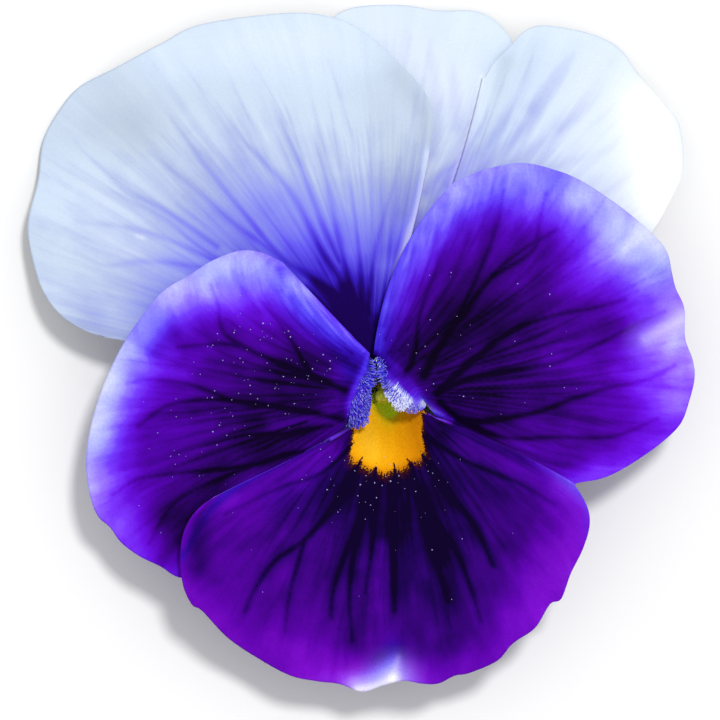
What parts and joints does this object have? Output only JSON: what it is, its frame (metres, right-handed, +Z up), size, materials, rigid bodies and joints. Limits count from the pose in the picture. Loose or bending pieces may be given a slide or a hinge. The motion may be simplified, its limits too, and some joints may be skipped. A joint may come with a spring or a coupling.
{
  "type": "picked pansy bloom",
  "caption": "Pansy bloom lying face up, with overlapping white and violet petals, a yellow eye, sepals, a spur and a short cut stalk.",
  "frame": {"origin": "centre of the bloom's outline in plan, on the surface that the bloom lies on", "axes": "+Z up out of the flower's face, +Y towards the top of the face, +X to the right of the face as it is looked at"},
  "size_m": [0.0703, 0.0725, 0.0139],
  "materials": {
    "petal_white": "satin petal, white to pale blue with violet veins",
    "petal_violet": "satin petal, violet with a lilac to white margin",
    "petal_deep_violet": "satin petal, deep violet with a yellow eye",
    "sepal_green": "matt green leaf skin",
    "anther_orange": "matt orange and cream",
    "stigma_green": "moist pale green",
    "stalk_green": "smooth green stalk"
  },
  "bodies": {
    "root": {"petal_upper_left": "petal_white", "petal_upper_right": "petal_white", "petal_lateral_left": "petal_violet", "petal_lateral_right": "petal_violet", "petal_lower": "petal_deep_violet", "sepal_top": "sepal_green", "sepal_upper_left": "sepal_green", "sepal_upper_right": "sepal_green", "sepal_lower_left": "sepal_green", "sepal_lower_right": "sepal_green", "stamen_1": "anther_orange", "stamen_2": "anther_orange", "stamen_3": "anther_orange", "stamen_4": "anther_orange", "stamen_5": "anther_orange", "pistil": "stigma_green", "stalk": "stalk_green"}
  },
  "joints": []
}
